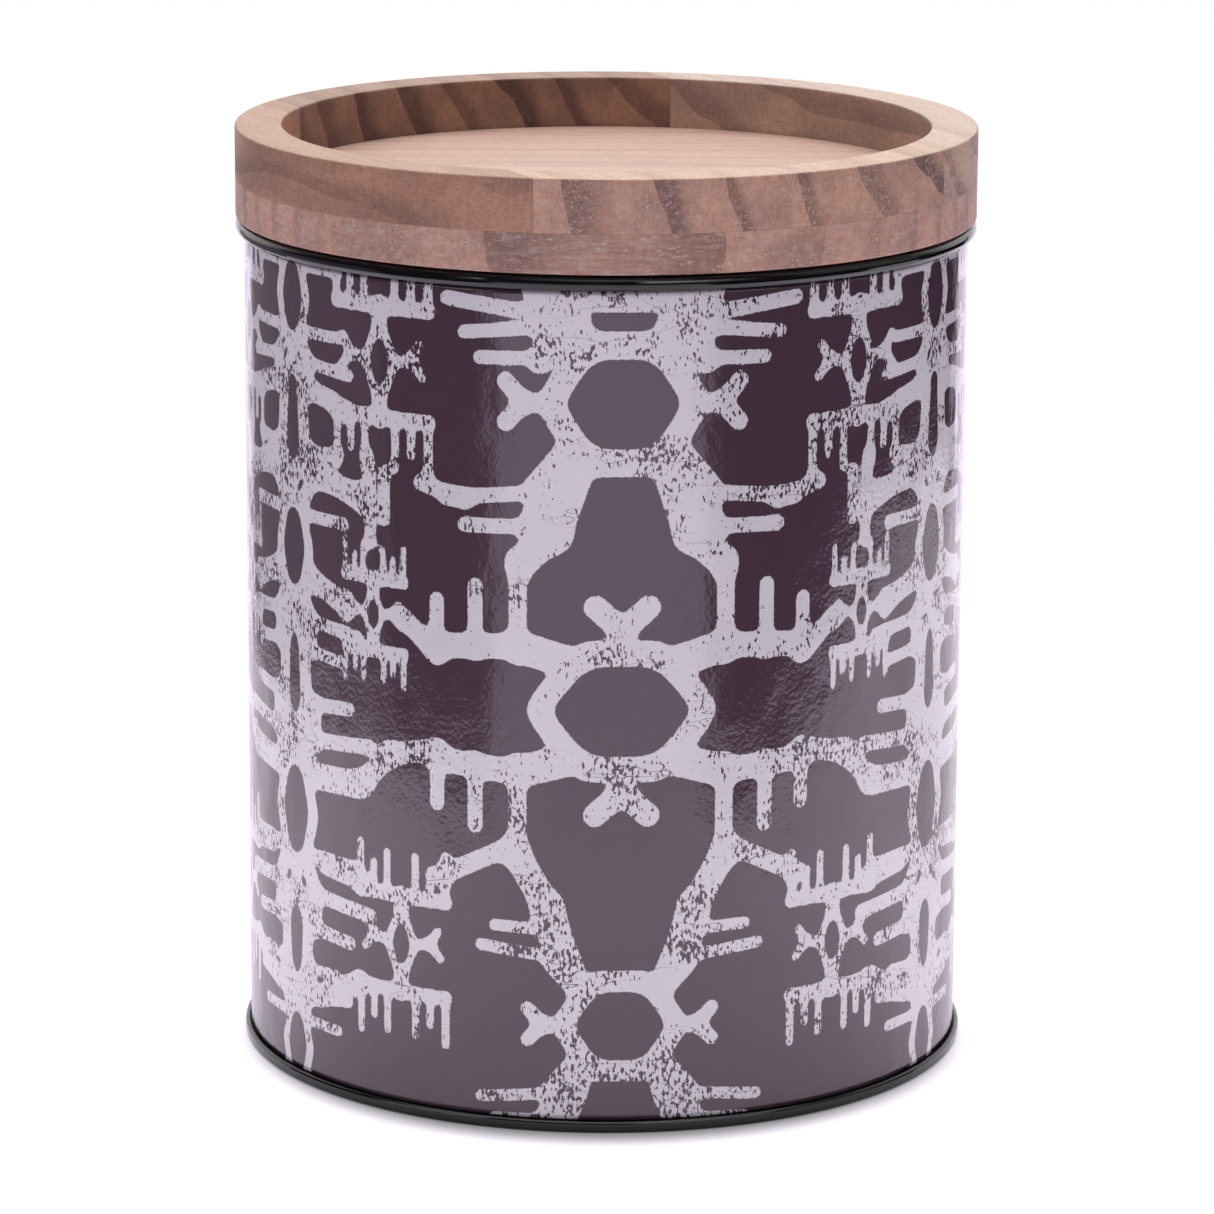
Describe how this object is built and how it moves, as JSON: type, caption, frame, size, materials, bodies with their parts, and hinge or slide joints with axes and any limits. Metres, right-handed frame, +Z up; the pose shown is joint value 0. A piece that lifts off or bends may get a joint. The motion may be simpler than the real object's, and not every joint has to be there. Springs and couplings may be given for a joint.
{
  "type": "coffee tin",
  "caption": "Round tin with a rolled mouth curl, a seamed bottom and a glossy printed wrap, closed by a plug-in wooden lid with a shallow tray on top and a lipped seal.",
  "frame": {"origin": "centre of the base, on the surface that the tin stands on", "axes": "+Z up along the tin's axis, -Y to the front, +Y to the lock seam and the wrap's lap at the back"},
  "size_m": [0.1251, 0.125, 0.1581],
  "materials": {
    "black_enamel": "gloss black enamel",
    "glossy_wrap": "laminated paper, gloss, block print in plum and pale lilac",
    "seam_rubber": "matte",
    "silicone": "satin, translucent white",
    "lid_wood": "sanded, matte"
  },
  "bodies": {
    "tin": {"body_shell": "black_enamel", "bottom_end": "black_enamel", "seam_compound": "seam_rubber", "printed_wrap": "glossy_wrap"},
    "seal": {"seal_ring": "silicone"},
    "lid": {"plug_disc": "lid_wood", "board_front_plank": "lid_wood", "board_centre_plank": "lid_wood", "board_rear_plank": "lid_wood", "board_back_plank": "lid_wood", "ring_left_plank": "lid_wood", "ring_front_plank": "lid_wood", "ring_back_plank": "lid_wood", "ring_right_plank": "lid_wood"}
  },
  "joints": [
    {"name": "lid_lift", "type": "slide", "parent": "tin", "child": "seal", "axis": [0, 0, 1], "range_m": [0, 0.08]},
    {"name": "lid_turn", "type": "hinge", "parent": "seal", "child": "lid", "pos_m": [0, 0, 0.14265], "axis": [0, 0, 1], "continuous": true}
  ]
}
